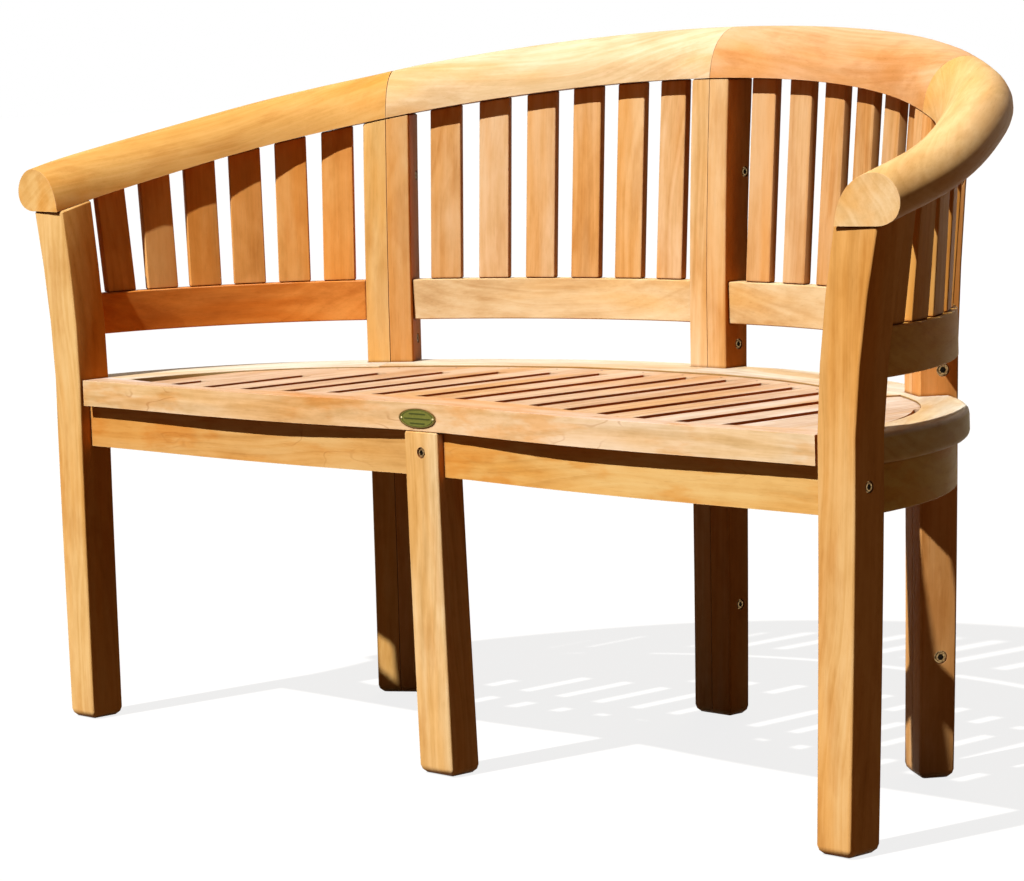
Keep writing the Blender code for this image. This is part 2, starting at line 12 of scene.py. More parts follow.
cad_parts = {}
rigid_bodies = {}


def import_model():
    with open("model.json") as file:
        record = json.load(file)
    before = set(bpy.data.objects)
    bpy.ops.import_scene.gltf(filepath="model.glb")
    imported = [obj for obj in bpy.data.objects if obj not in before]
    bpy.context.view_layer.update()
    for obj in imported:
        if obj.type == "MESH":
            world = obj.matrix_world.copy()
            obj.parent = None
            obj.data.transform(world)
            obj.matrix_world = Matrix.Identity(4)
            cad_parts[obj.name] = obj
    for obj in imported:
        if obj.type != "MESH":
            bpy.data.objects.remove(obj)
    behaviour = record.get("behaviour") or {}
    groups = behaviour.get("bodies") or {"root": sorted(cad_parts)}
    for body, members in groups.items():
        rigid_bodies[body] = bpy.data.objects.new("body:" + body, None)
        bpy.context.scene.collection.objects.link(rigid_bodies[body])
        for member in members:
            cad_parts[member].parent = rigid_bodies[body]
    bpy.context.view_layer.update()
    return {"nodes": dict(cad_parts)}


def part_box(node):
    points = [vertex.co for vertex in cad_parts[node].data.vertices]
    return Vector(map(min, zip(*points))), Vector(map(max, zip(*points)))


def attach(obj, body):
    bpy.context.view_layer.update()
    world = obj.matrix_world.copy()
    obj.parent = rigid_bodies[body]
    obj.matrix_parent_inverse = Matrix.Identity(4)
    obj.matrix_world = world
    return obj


for leftover in list(bpy.data.objects):
    bpy.data.objects.remove(leftover, do_unlink=True)

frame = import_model()
nodes = frame["nodes"]

# Camera, fitted to the photograph
camera_place = (3.1032, -3.0622, 0.8539)
camera_azimuth = math.radians(46.687)
camera_pitch = math.radians(6.298)
camera_roll = math.radians(-1.925)
camera_lens = 126.56
camera_sensor = 36.0

# Daylight from the front, high up, and a weak wide light from behind.
# Azimuth, height and spread are in degrees, then come strength and colour.
lights = {
    "sun": (-5.5, 52, 1.0, 5.25, (1.0, 0.965, 0.91)),
    "rear_light": (-142, 30, 35, 0.6, (1.0, 0.88, 0.58)),
}
sky_strength = 0.064
sky_colour = (1.0, 0.56, 0.28)
white = (1, 1, 1, 1)

# Floor. Its shade for the camera is kept apart from the shade that it throws onto the wood.
floor_reach = 40.0
floor_colour = (0.90, 0.90, 0.90)
floor_bounce = (0.08, 0.042, 0.020)
shadow_share = 0.16

# Bolts: heights over the floor, and how far they sit from the front of a post to its rear.
# Slim and stout are shares of the full size.
bolt_heights = (0.1413, 0.4702, 0.6845)
bolt_depth_shares = (0.57, 0.60, 0.79)
arm_bolt_height = 0.3884
leg_bolt_height = 0.3834
leg_bolt_x = 0.0005
back_post_turn = math.radians(33.6)
slim_bolt = 0.86
stout_bolt = 0.98
sink_radius = 0.0078
sink_depth = 0.0034
washer_radius = 0.0073
washer_thickness = 0.0007
washer_inner_share = 0.7
head_radius = 0.0056
head_height = 0.0021
socket_radius = 0.0034
socket_depth = 0.0018
bolt_ease = 0.0004
recess_gap = 0.0001
washer_gap = 0.00005
bolt_sides = 24

# How far from a piece the search for its surface starts
far_off = 2
outside = 1
past_post = 0.3
past_near_half = 0.1
past_far_half = 0.15

# Nails along the back ends of the seat slats
slot_count = 15
slat_pitch = 0.0683
slot_shift = -0.009
seat_level = 0.43
nail_set = 0.016
nail_radius = 0.0015
nail_rise = 0.0002
nail_top_share = 0.6
small_sides = 12

# Oval plate: a rim, a field, a thin raised line, plain bars and two pins
plate_x = -0.0045
plate_drop = 0.0015
plate_width = 0.063
plate_height = 0.0228
plate_thickness = 0.0012
plate_rim = 0.0009
plate_dish = 0.0004
plate_gap = 0.0001
plate_ease = 0.0002
plate_sides = 48
line_shares = (0.86, 0.82)
field_shares = (0.04, 0.3, 0.55, 0.8, 1.0)
bar_shares = ((0.46, 0.44), (-0.04, 0.70), (-0.52, 0.40))
bar_width = 0.0015
bar_steps = 12
pin_radius = 0.0013
pin_height = 0.0008
pin_inset = 0.0045
pin_profile_shares = ((1, 0), (1, 0.25), (0.8, 0.75), (0.35, 1))

# Smooth shading
weld_reach = 0.00002
smooth_limit = math.radians(52)
ring_limit = math.radians(40)

# Family of shades of a piece, by the first of these words in its name. The rest count as aprons.
families = (
    ("top_rail", "rail"), ("post", "post"), ("leg", "post"), ("slat_panel", "seat"),
    ("seat_rim", "seat"), ("front_board", "front"), ("slat", "slat"), ("lower_rail", "band"),
)

# Teak shades, dark to light, as linear colours, and where they lie on the tone of the grain
teak_shades = {
    "post": ((0.600, 0.290, 0.085), (0.760, 0.410, 0.150), (0.840, 0.480, 0.200), (0.880, 0.550, 0.265)),
    "rail": ((0.650, 0.390, 0.145), (0.740, 0.470, 0.200), (0.800, 0.540, 0.260), (0.835, 0.590, 0.315)),
    "slat": ((0.560, 0.260, 0.075), (0.720, 0.380, 0.130), (0.800, 0.450, 0.185), (0.850, 0.520, 0.240)),
    "band": ((0.600, 0.280, 0.090), (0.760, 0.410, 0.150), (0.840, 0.490, 0.205), (0.880, 0.560, 0.260)),
    "seat": ((0.520, 0.275, 0.130), (0.650, 0.390, 0.205), (0.720, 0.470, 0.270), (0.770, 0.540, 0.330)),
    "front": ((0.600, 0.350, 0.120), (0.760, 0.480, 0.200), (0.840, 0.560, 0.265), (0.880, 0.620, 0.330)),
    "apron": ((0.560, 0.290, 0.090), (0.740, 0.410, 0.140), (0.820, 0.490, 0.190), (0.860, 0.560, 0.250)),
}
shade_stops = (0.36, 0.455, 0.535, 0.63)

# Tints of single pieces. The first start that fits a name counts.
piece_tints = {
    "top_rail_left_back": (1.02, 1.19, 1.56),
    "top_rail_right_back": (0.91, 0.76, 0.75),
    "top_rail_left_arm": (0.98, 0.81, 0.48),
    "top_rail_right_arm": (1.02, 0.94, 0.78),
    "arm_post_left": (0.98, 1.07, 0.96),
    "arm_post_right": (0.95, 1.00, 0.90),
    "front_leg_centre": (1.05, 1.28, 1.52),
    "back_post_left_outer": (0.97, 1.08, 0.95),
    "back_post_left_inner": (0.90, 0.88, 0.76),
    "centre_post_left": (0.92, 1.10, 1.30),
    "centre_post_right": (0.88, 0.92, 0.90),
    "back_slat_left_back_2": (0.93, 0.98, 0.98),
    "back_slat_left_back_4": (0.94, 1.09, 1.34),
    "back_slat_left_back": (0.94, 1.03, 1.17),
    "back_slat_right_back": (0.86, 0.91, 0.97),
    "back_slat_left_arm": (1.04, 0.91, 0.63),
    # Painted shade: this tint, and the right-arm lower rail and apron tints, make their shaded outer faces
    # olive.
    "back_slat_right_arm": (0.95, 0.90, 0.58),
    "lower_rail_left_back": (0.98, 1.26, 1.60),
    "lower_rail_right_back": (0.91, 1.12, 1.34),
    "lower_rail_left_arm": (1.05, 0.71, 0.34),
    # Painted shade: olive tint for the shaded outer faces.
    "lower_rail_right_arm": (0.92, 0.92, 0.52),
    "seat_front_board": (1.05, 1.04, 1.16),
    "seat_rim": (0.98, 1.30, 1.65),
    "seat_": (0.95, 1.05, 1.18),
    "apron_front_left": (0.91, 0.86, 0.72),
    "apron_front_right": (0.97, 0.99, 0.84),
    # Painted shade: olive tint for the shaded outer faces.
    "apron_right_arm": (0.88, 0.92, 0.50),
}

# Tints of some faces of a piece. Each row says which family and word in a name it is for, then what is
# read (the way that a face looks, or its place on the bench), along which axis, and whether its sign is
# left out. Last come the readings where the tint starts and where it is full, and the tint. Rows marked as
# painted shade darken or redden faces by the way they face the light.
face_tints_and_painted_shade = {
    # Painted shade: the top of the front board is darker, against the stronger light on tops.
    "board_top_painted_shade": ("front", "board", "look", 2, False, (0.2, 0.8), (0.82, 0.80, 0.94)),
    "board_ends": ("front", "board", "place", 0, True, (0.12, 0.60), (1.04, 1.27, 1.70)),
    # Painted shade: the sides of the posts are darker and redder.
    "post_sides_painted_shade": ("post", "", "look", 0, True, (0.70, 0.92), (0.97, 0.80, 0.56)),
    "sawn_arm_ends": ("rail", "arm", "look", 1, False, (-0.90, -0.97), (1.07, 1.17, 1.42)),
    # Painted shade: the sides and lower edges of the seat rim are darker and more olive.
    "rim_sides_painted_shade": ("seat", "rim", "look", 2, False, (0.75, 0.25), (0.92, 0.80, 0.44)),
    # Painted shade: the side walls of the slots are redder and darker.
    "slot_walls_painted_shade": ("seat", "panel", "look", 0, True, (0.6, 0.9), (1.22, 0.72, 0.40)),
    "right_slats": ("seat", "panel", "place", 0, False, (0.08, 0.50), (1.02, 1.18, 1.42)),
}

# Growth rings, and what moves them: metres of wander, and metres per metre of taper
rings_scale = 120
rings_detail = 2
rings_roughness = 0.6
rings_wander = 0.055
rings_taper = 0.03
late_lines = 96
late_rise = (0.45, 0.93)
late_fall = (1.0, 0.95)

# Noises of the grain: features per metre along it and across it, detail and roughness
grain_noises = {
    "wander": (2.6, 9, 2, 0.45),
    "streak": (3.5, 120, 4, 0.62),
    "fibre": (11, 520, 2, 0.6),
    "patch": (2.4, 15, 3, 0.55),
    "mottle": (24, 58, 3, 0.6),
    "swirl": (9, 26, 2, 0.5),
    "late_region": (3.1, 12, 1, 0.5),
    "pores": (42, 1150, 1, 0.5),
    "honey": (1.9, 13, 3, 0.6),
    "stain": (7, 24, 4, 0.6),
    "swirl_region": (5.3, 17, 1, 0.5),
}
mask_steps = {
    "late_region": (0.45, 0.64),
    "pores": (0.60, 0.72),
    "honey": (0.42, 0.66),
    "stain": (0.50, 0.64),
    "swirl_region": (0.56, 0.66),
}
swirl_line = (0.014, 0.002)
tone_shares = {"rings": 0.17, "patch": 0.40, "mottle": 0.19, "streak": 0.17, "fibre": 0.07, "late": -0.045}
height_shares = {"fibre": 0.5, "pores": -0.5, "late": -0.15}

# One piece of teak: where it lies from the heart of its tree, and how far its shades stray
heart_ranges = ((2, 9), (0.04, 0.10), (-0.09, -0.04))
tone_stray = 0.030
warmth_stray = 0.5
warmth_shares = (0, 0.06, 0.14)
upright_limit = 0.7

# Layers over the shade of the wood: strength and tint
honey_share = 0.8
honey = (0.97, 0.80, 0.55)
pale = (1.0, 1.06, 1.22)
stain_share = 0.34
stained = (0.74, 0.56, 0.36)
blotch_families = ("front", "apron")
blotch_share = 0.75
blotched = (0.93, 0.72, 0.46)
figure_share = 0.42
figured = (0.58, 0.36, 0.18)
pore_share = 0.14
pore_shade = (0.50, 0.34, 0.24)
# Painted shade: wood passes on darker, redder light when it bounces, so shaded faces come out darker.
painted_shade_in_bounces = (0.62, 0.36, 0.16)

# Joints darkened by grime and painted shade, and arrises paled by wear and a painted highlight
joint_reach = 0.004
joint_step = (0.06, 0.50)
joint_share = 0.85
# Painted shade with grime: the colour that darkens narrow gaps between parts.
joint_grime_and_shade = (0.26, 0.12, 0.05)
arris_radius = 0.0022
arris_step = (0.985, 0.90)
arris_share = 0.40
# Pale colour of worn arrises, partly a painted highlight.
arris_wear_and_highlight = (0.92, 0.66, 0.40)
wear_noise = (14, 60, 2, 0.6)
wear_step = (0.35, 0.60)
edge_samples = 4

# Sheen and relief
teak_roughness = 0.44
pore_roughness = 0.16
wear_roughness = 0.14
teak_specular = 0.035
relief_strength = 0.25
teak_relief = 0.0004

# Metals: clean colour, roughness and film colour
metal_looks = {
    "bolt_steel": ((0.46, 0.30, 0.13), 0.34, (0.18, 0.10, 0.04)),
    # Painted shade: the near-black of the socket stands for the shade in its hexagon recess; the nails wear
    # the same dark steel as their own colour.
    "socket_shade_and_nail_steel": ((0.018, 0.013, 0.008), 0.5, (0.010, 0.008, 0.006)),
    "plate_brass": ((0.20, 0.13, 0.035), 0.42, (0.12, 0.075, 0.02)),
    "pin_brass": ((0.80, 0.68, 0.36), 0.35, (0.60, 0.48, 0.22)),
}
film_noise = (420, 420, 3, 0.6)
film_step = (0.42, 0.66)
film_roughness = 0.2
metal_relief = 0.0002

# Enamels of the plate: colour and worn colour
enamel_looks = {
    "plate_enamel": ((0.150, 0.160, 0.026), (0.200, 0.200, 0.040)),
    "plate_dark_enamel": ((0.050, 0.062, 0.010), (0.070, 0.080, 0.014)),
}
speckle_noise = (900, 900, 2, 0.6)
speckle_step = (0.30, 0.70)
enamel_roughness = 0.55
enamel_specular = 0.15


def new_tree(material_name):
    """A material with its Principled shader, ready to wire."""
    material = bpy.data.materials.new(material_name)
    material.use_nodes = True
    tree = material.node_tree
    return material, tree, tree.nodes["Principled BSDF"]


def calculate(tree, operation, first, second=None):
    """Math node on sockets or plain numbers, giving its output socket."""
    node = tree.nodes.new("ShaderNodeMath")
    node.operation = operation
    for socket, value in zip(node.inputs, (first, second)):
        if value is None:
            continue
        if isinstance(value, (int, float)):
            socket.default_value = value
        else:
            tree.links.new(value, socket)
    return node.outputs[0]


def weighted_sum(tree, parts):
    """Sum of pairs of a socket and its share."""
    terms = [calculate(tree, "MULTIPLY", socket, share) for socket, share in parts]
    total = terms[0]
    for term in terms[1:]:
        total = calculate(tree, "ADD", total, term)
    return total


def stretched_noise(tree, vector, along, across, detail, roughness):
    """Noise drawn out along the grain: along and across are its features per metre."""
    scaling = tree.nodes.new("ShaderNodeVectorMath")
    scaling.operation = "MULTIPLY"
    scaling.inputs[1].default_value = (along, across, across)
    tree.links.new(vector, scaling.inputs[0])
    noise = tree.nodes.new("ShaderNodeTexNoise")
    noise.inputs["Scale"].default_value = 1
    noise.inputs["Detail"].default_value = detail
    noise.inputs["Roughness"].default_value = roughness
    tree.links.new(scaling.outputs[0], noise.inputs["Vector"])
    return noise.outputs[0]


def step_between(tree, value, start, full):
    """Smooth rise from 0 at start to 1 at full."""
    node = tree.nodes.new("ShaderNodeMapRange")
    node.interpolation_type = "SMOOTHSTEP"
    node.inputs["From Min"].default_value = start
    node.inputs["From Max"].default_value = full
    tree.links.new(value, node.inputs["Value"])
    return node.outputs[0]


def axes_of(tree, vector):
    """The three numbers of a vector socket."""
    parts = tree.nodes.new("ShaderNodeSeparateXYZ")
    tree.links.new(vector, parts.inputs[0])
    return parts.outputs


def mix_colour(tree, kind, factor, first, second):
    """Mix node for colours. A number or socket may be given for the factor and for each colour."""
    node = tree.nodes.new("ShaderNodeMix")
    node.data_type = "RGBA"
    node.blend_type = kind
    for socket, value in ((node.inputs[0], factor), (node.inputs[6], first), (node.inputs[7], second)):
        if isinstance(value, (int, float)):
            socket.default_value = value
        elif isinstance(value, tuple):
            socket.default_value = (*value, 1)
        else:
            tree.links.new(value, socket)
    return node.outputs[2]


def add_relief(tree, surface, height, distance):
    """Fine relief of a surface from a height socket."""
    relief = tree.nodes.new("ShaderNodeBump")
    relief.inputs["Strength"].default_value = relief_strength
    relief.inputs["Distance"].default_value = distance
    tree.links.new(height, relief.inputs["Height"])
    tree.links.new(relief.outputs[0], surface.inputs["Normal"])


def seen_directly(tree):
    """1 for rays that show a surface or its mirror image, 0 for light that bounces."""
    path = tree.nodes.new("ShaderNodeLightPath")
    seen = path.outputs["Is Camera Ray"]
    for kind in ("Is Glossy Ray", "Is Transmission Ray"):
        seen = calculate(tree, "MAXIMUM", seen, path.outputs[kind])
    return seen


def ring_radius(group, vector, wander):
    """Distance from the heart of the tree, with the wander and the taper of the rings."""
    x, y, z = axes_of(group, vector)
    squares = [calculate(group, "MULTIPLY", side, side) for side in (y, z)]
    radius = calculate(group, "SQRT", calculate(group, "ADD", *squares))
    stray = calculate(group, "SUBTRACT", wander, 0.5)
    radius = calculate(group, "ADD", radius, calculate(group, "MULTIPLY", stray, rings_wander))
    return calculate(group, "ADD", radius, calculate(group, "MULTIPLY", x, rings_taper))


def grain_group():
    """Figure of sawn teak. The first axis of its vector runs along the grain."""
    group = bpy.data.node_groups.new("teak_grain", "ShaderNodeTree")
    group.interface.new_socket("Vector", in_out="INPUT", socket_type="NodeSocketVector")
    vector = group.nodes.new("NodeGroupInput").outputs["Vector"]
    layers = {word: stretched_noise(group, vector, *numbers) for word, numbers in grain_noises.items()}
    masks = {word: step_between(group, layers[word], *limits) for word, limits in mask_steps.items()}

    radius = ring_radius(group, vector, layers["wander"])
    rings = group.nodes.new("ShaderNodeTexNoise")
    rings.noise_dimensions = "1D"
    rings.inputs["Scale"].default_value = rings_scale
    rings.inputs["Detail"].default_value = rings_detail
    rings.inputs["Roughness"].default_value = rings_roughness
    group.links.new(radius, rings.inputs["W"])
    cycle = calculate(group, "FRACT", calculate(group, "MULTIPLY", radius, late_lines))
    late = step_between(group, cycle, *late_rise)
    late = calculate(group, "MULTIPLY", late, step_between(group, cycle, *late_fall))
    late = calculate(group, "MULTIPLY", late, masks["late_region"])

    swirl = calculate(group, "ABSOLUTE", calculate(group, "SUBTRACT", layers["swirl"], 0.5))
    figure = calculate(group, "MULTIPLY", step_between(group, swirl, *swirl_line), masks["swirl_region"])

    sources = {**layers, "rings": rings.outputs[0], "late": late, "pores": masks["pores"]}
    outputs = {
        "Tone": weighted_sum(group, [(sources[word], share) for word, share in tone_shares.items()]),
        "Honey": masks["honey"],
        "Stain": masks["stain"],
        "Figure": figure,
        "Pores": masks["pores"],
        "Height": weighted_sum(group, [(sources[word], share) for word, share in height_shares.items()]),
    }
    for output in outputs:
        group.interface.new_socket(output, in_out="OUTPUT", socket_type="NodeSocketFloat")
    end = group.nodes.new("NodeGroupOutput")
    for output, value in outputs.items():
        group.links.new(value, end.inputs[output])
    return group


def grain_turn(name):
    """Rotation that brings the grain of a node onto the first axis: its longest direction."""
    if name == "seat_slat_panel":
        long_way = Vector((0, 1, 0))
    else:
        spots = np.array([v.co for v in nodes[name].data.vertices])
        spread = np.linalg.eigh(np.cov((spots - spots.mean(0)).T))[1]
        long_way = Vector(spread[:, 2])
    beside = Vector((0, 0, 1)) if abs(long_way.z) < upright_limit else Vector((0, 1, 0))
    side_way = long_way.cross(beside).normalized()
    return Matrix((long_way, side_way, long_way.cross(side_way)))


def family_of(name):
    """Shade family of a node, by what it is."""
    return next((family for word, family in families if word in name), "apron")


def shade_ramp(tree, name, draw, tone):
    """Shades of one piece over the tone of its grain, strayed and tinted."""
    ramp = tree.nodes.new("ShaderNodeValToRGB")
    ramp.color_ramp.interpolation = "B_SPLINE"
    shift = draw.uniform(-tone_stray, tone_stray)
    warmth = draw.uniform(-warmth_stray, warmth_stray)
    shades = teak_shades[family_of(name)]
    own = next((tint for start, tint in piece_tints.items() if name.startswith(start)), (1, 1, 1))
    while len(ramp.color_ramp.elements) < len(shades):
        ramp.color_ramp.elements.new(0.5)
    cast = [part * (1 - share * warmth) for part, share in zip(own, warmth_shares)]
    for element, stop, shade in zip(ramp.color_ramp.elements, shade_stops, shades):
        element.position = stop + shift
        element.color = (*[value * part for value, part in zip(shade, cast)], 1)
    tree.links.new(tone, ramp.inputs[0])
    return ramp.outputs[0]


def tint_and_shade_faces(tree, colour, name, readings):
    """Tints of some faces of a piece, some of them painted shade, as the table of face tints says."""
    for family, word, reading, axis, without_sign, limits, tint in face_tints_and_painted_shade.values():
        if family != family_of(name) or word not in name:
            continue
        value = axes_of(tree, readings[reading])[axis]
        if without_sign:
            value = calculate(tree, "ABSOLUTE", value)
        colour = mix_colour(tree, "MULTIPLY", step_between(tree, value, *limits), colour, tint)
    return colour


def darken_joints(tree, colour):
    """Grime and painted shade where another face is close by: darker in the narrow gaps between parts."""
    crevice = tree.nodes.new("ShaderNodeAmbientOcclusion")
    crevice.samples = edge_samples
    crevice.inputs["Distance"].default_value = joint_reach
    grime_and_shade = calculate(tree, "SUBTRACT", 1.0, crevice.outputs["AO"])
    grime_and_shade = calculate(tree, "MULTIPLY", step_between(tree, grime_and_shade, *joint_step), joint_share)
    return mix_colour(tree, "MULTIPLY", grime_and_shade, colour, joint_grime_and_shade)


def pale_worn_and_highlit_arrises(tree, colour, look, wear):
    """Pale worn wood along the edges, here and there, partly a painted highlight on the eased arrises."""
    corner = tree.nodes.new("ShaderNodeBevel")
    corner.samples = edge_samples
    corner.inputs["Radius"].default_value = arris_radius
    agree = tree.nodes.new("ShaderNodeVectorMath")
    agree.operation = "DOT_PRODUCT"
    tree.links.new(corner.outputs[0], agree.inputs[0])
    tree.links.new(look, agree.inputs[1])
    arris = step_between(tree, agree.outputs["Value"], *arris_step)
    arris = calculate(tree, "MULTIPLY", arris, step_between(tree, wear, *wear_step))
    return mix_colour(tree, "MIX", calculate(tree, "MULTIPLY", arris, arris_share), colour, arris_wear_and_highlight)


def teak(name):
    """Oiled teak for one piece: own rings, own shade, joints darkened by grime and painted shade,
    arrises paled by wear and a painted highlight, and painted shade on some faces and in bounced light.
    """
    draw = random.Random(name)
    material, tree, surface = new_tree(name + "_finish")
    place = tree.nodes.new("ShaderNodeTexCoord").outputs["Object"]
    look = tree.nodes.new("ShaderNodeNewGeometry").outputs["Normal"]
    turn = tree.nodes.new("ShaderNodeMapping")
    turn.inputs["Rotation"].default_value = grain_turn(name).to_euler()
    middle = sum(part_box(name), Vector()) * 0.5
    heart = Vector([draw.uniform(*limits) for limits in heart_ranges])
    turn.inputs["Location"].default_value = heart - grain_turn(name) @ middle
    tree.links.new(place, turn.inputs["Vector"])
    grain = tree.nodes.new("ShaderNodeGroup")
    grain.node_tree = teak_grain
    tree.links.new(turn.outputs[0], grain.inputs["Vector"])
    pores = grain.outputs["Pores"]
    wear = stretched_noise(tree, turn.outputs[0], *wear_noise)

    shade = shade_ramp(tree, name, draw, grain.outputs["Tone"])
    tint = mix_colour(tree, "MIX", grain.outputs["Honey"], pale, honey)
    colour = mix_colour(tree, "MULTIPLY", honey_share, shade, tint)
    layers = [("Stain", stain_share, stained), ("Pores", pore_share, pore_shade)]
    if family_of(name) in blotch_families:
        layers[0] = ("Stain", blotch_share, blotched)
        layers.insert(1, ("Figure", figure_share, figured))
    for output, share, layer_tint in layers:
        strength = calculate(tree, "MULTIPLY", grain.outputs[output], share)
        colour = mix_colour(tree, "MULTIPLY", strength, colour, layer_tint)
    colour = tint_and_shade_faces(tree, colour, name, {"look": look, "place": place})
    colour = darken_joints(tree, colour)
    colour = pale_worn_and_highlit_arrises(tree, colour, look, wear)
    # Painted shade: bounced light leaves the wood darker and redder.
    path = tree.nodes.new("ShaderNodeLightPath")
    colour = mix_colour(tree, "MULTIPLY", path.outputs["Is Diffuse Ray"], colour, painted_shade_in_bounces)
    tree.links.new(colour, surface.inputs["Base Color"])

    gloss = weighted_sum(tree, ((pores, pore_roughness), (wear, wear_roughness)))
    tree.links.new(calculate(tree, "ADD", gloss, teak_roughness), surface.inputs["Roughness"])
    surface.inputs["Specular IOR Level"].default_value = teak_specular
    add_relief(tree, surface, grain.outputs["Height"], teak_relief)
    return material


def metal(name, colour, roughness, film):
    """Dull metal with a blotchy film."""
    material, tree, surface = new_tree(name)
    place = tree.nodes.new("ShaderNodeTexCoord").outputs["Object"]
    blotch = stretched_noise(tree, place, *film_noise)
    mask = step_between(tree, blotch, *film_step)
    tree.links.new(mix_colour(tree, "MIX", mask, colour, film), surface.inputs["Base Color"])
    surface.inputs["Metallic"].default_value = 1
    gloss = calculate(tree, "ADD", calculate(tree, "MULTIPLY", mask, film_roughness), roughness)
    tree.links.new(gloss, surface.inputs["Roughness"])
    add_relief(tree, surface, blotch, metal_relief)
    return material


def enamel(name, colour, worn):
    """Dull enamel with a faint mottle."""
    material, tree, surface = new_tree(name)
    place = tree.nodes.new("ShaderNodeTexCoord").outputs["Object"]
    speckle = step_between(tree, stretched_noise(tree, place, *speckle_noise), *speckle_step)
    tree.links.new(mix_colour(tree, "MIX", speckle, colour, worn), surface.inputs["Base Color"])
    surface.inputs["Roughness"].default_value = enamel_roughness
    surface.inputs["Specular IOR Level"].default_value = enamel_specular
    return material


def smoothing_group():
    """Shades faces smoothly and keeps the edges that are sharper than the limit."""
    group = bpy.data.node_groups.new("smooth_faces", "GeometryNodeTree")
    group.interface.new_socket("Geometry", in_out="INPUT", socket_type="NodeSocketGeometry")
    group.interface.new_socket("Geometry", in_out="OUTPUT", socket_type="NodeSocketGeometry")
    start = group.nodes.new("NodeGroupInput")
    end = group.nodes.new("NodeGroupOutput")
    drop = group.nodes.new("GeometryNodeRemoveAttribute")
    drop.inputs["Name"].default_value = "custom_normal"
    faces = group.nodes.new("GeometryNodeSetShadeSmooth")
    faces.domain = "FACE"
    angle = group.nodes.new("GeometryNodeInputMeshEdgeAngle")
    sharp = group.nodes.new("FunctionNodeCompare")
    sharp.data_type = "FLOAT"
    sharp.operation = "GREATER_THAN"
    sharp.inputs["B"].default_value = smooth_limit
    edges = group.nodes.new("GeometryNodeSetShadeSmooth")
    edges.domain = "EDGE"
    edges.inputs["Shade Smooth"].default_value = False
    group.links.new(start.outputs[0], drop.inputs["Geometry"])
    group.links.new(drop.outputs[0], faces.inputs["Geometry"])
    group.links.new(faces.outputs[0], edges.inputs["Geometry"])
    group.links.new(angle.outputs["Unsigned Angle"], sharp.inputs["A"])
    group.links.new(sharp.outputs[0], edges.inputs["Selection"])
    group.links.new(edges.outputs[0], end.inputs[0])
    return group


def dress(name):
    """Give a node its teak, and weld its faces together."""
    body = nodes[name]
    weld = body.modifiers.new("weld", "WELD")
    weld.merge_threshold = weld_reach
    body.data.materials.clear()
    body.data.materials.append(teak(name))


def finish_shading(name):
    """Smooth shading with flat faces kept flat, after any recess is cut."""
    body = nodes[name]
    smooth = body.modifiers.new("smooth", "NODES")
    smooth.node_group = smooth_faces
    even = body.modifiers.new("even", "WEIGHTED_NORMAL")
    even.keep_sharp = True


def tree_of(name):
    """Search tree over the faces of a node."""
    if name not in search_trees:
        mesh = nodes[name].data
        faces = [face.vertices for face in mesh.polygons]
        search_trees[name] = BVHTree.FromPolygons([v.co for v in mesh.vertices], faces)
    return search_trees[name]


def surface_spot(name, start, direction):
    """Point of a node hit from start along direction."""
    spot = tree_of(name).ray_cast(Vector(start), Vector(direction).normalized())[0]
    if spot is None:
        raise ValueError("nothing of " + name + " lies ahead of " + str(tuple(start)))
    return spot


def finished_mesh(name, body):
    """Mesh from a bmesh, with its faces turned outward."""
    bmesh.ops.recalc_face_normals(body, faces=body.faces)
    mesh = bpy.data.meshes.new(name)
    body.to_mesh(mesh)
    body.free()
    return mesh


def join_rows(body, rows):
    """Faces between each closed row of points and the next."""
    for lower, upper in rows:
        for i in range(len(lower)):
            j = (i + 1) % len(lower)
            body.faces.new((lower[i], lower[j], upper[j], upper[i]))


def ring_mesh(name, profile, sides, hexagons=0, stretch=1.0, open_middle=False):
    """Closed body from rings of radius and height, the last ones hexagons. An open middle makes a hoop."""
    body = bmesh.new()
    rows = []
    for place, (radius, height) in enumerate(profile):
        row = []
        for i in range(sides):
            angle = 2 * math.pi * i / sides
            reach = radius
            if place >= len(profile) - hexagons:
                reach = radius / math.cos(angle % (math.pi / 3) - math.pi / 6)
            row.append(body.verts.new((reach * math.cos(angle) * stretch, reach * math.sin(angle), height)))
        rows.append(row)
    if open_middle:
        join_rows(body, zip(rows, rows[1:] + rows[:1]))
    else:
        join_rows(body, zip(rows, rows[1:]))
        body.faces.new(rows[0][::-1])
        body.faces.new(rows[-1])
    mesh = finished_mesh(name, body)
    for face in mesh.polygons:
        face.use_smooth = True
    mesh.set_sharp_from_angle(angle=ring_limit)
    return mesh


def add_object(name, mesh, material=None):
    """Object of a mesh in the scene."""
    if material is not None:
        mesh.materials.append(material)
    piece = bpy.data.objects.new(name, mesh)
    bpy.context.scene.collection.objects.link(piece)
    return piece


def stand_on(piece, spot, outward):
    """Place a piece with its +Z along outward."""
    turn = Vector(outward).to_track_quat("Z", "Y").to_matrix().to_4x4()
    piece.matrix_world = Matrix.Translation(spot) @ turn


def put(name, mesh, material, spot, outward, body_name="root"):
    """Place a mesh with its +Z along outward, and let it ride."""
    piece = add_object(name, mesh, material)
    stand_on(piece, spot, outward)
    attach(piece, body_name)


def sink(name, node, spot, outward, size):
    """Cut a round recess in a node with a hidden plug, and give the spot on its floor for a piece."""
    radius = sink_radius * size
    plug = ring_mesh(name, ((radius, -sink_depth), (radius, sink_depth)), bolt_sides)
    cutter = add_object(name, plug)
    stand_on(cutter, spot, outward)
    cutter.hide_render = True
    cutter.hide_viewport = True
    recess = nodes[node].modifiers.new(name, "BOOLEAN")
    recess.operation = "DIFFERENCE"
    recess.solver = "EXACT"
    recess.object = cutter
    return spot - Vector(outward).normalized() * (sink_depth - recess_gap)


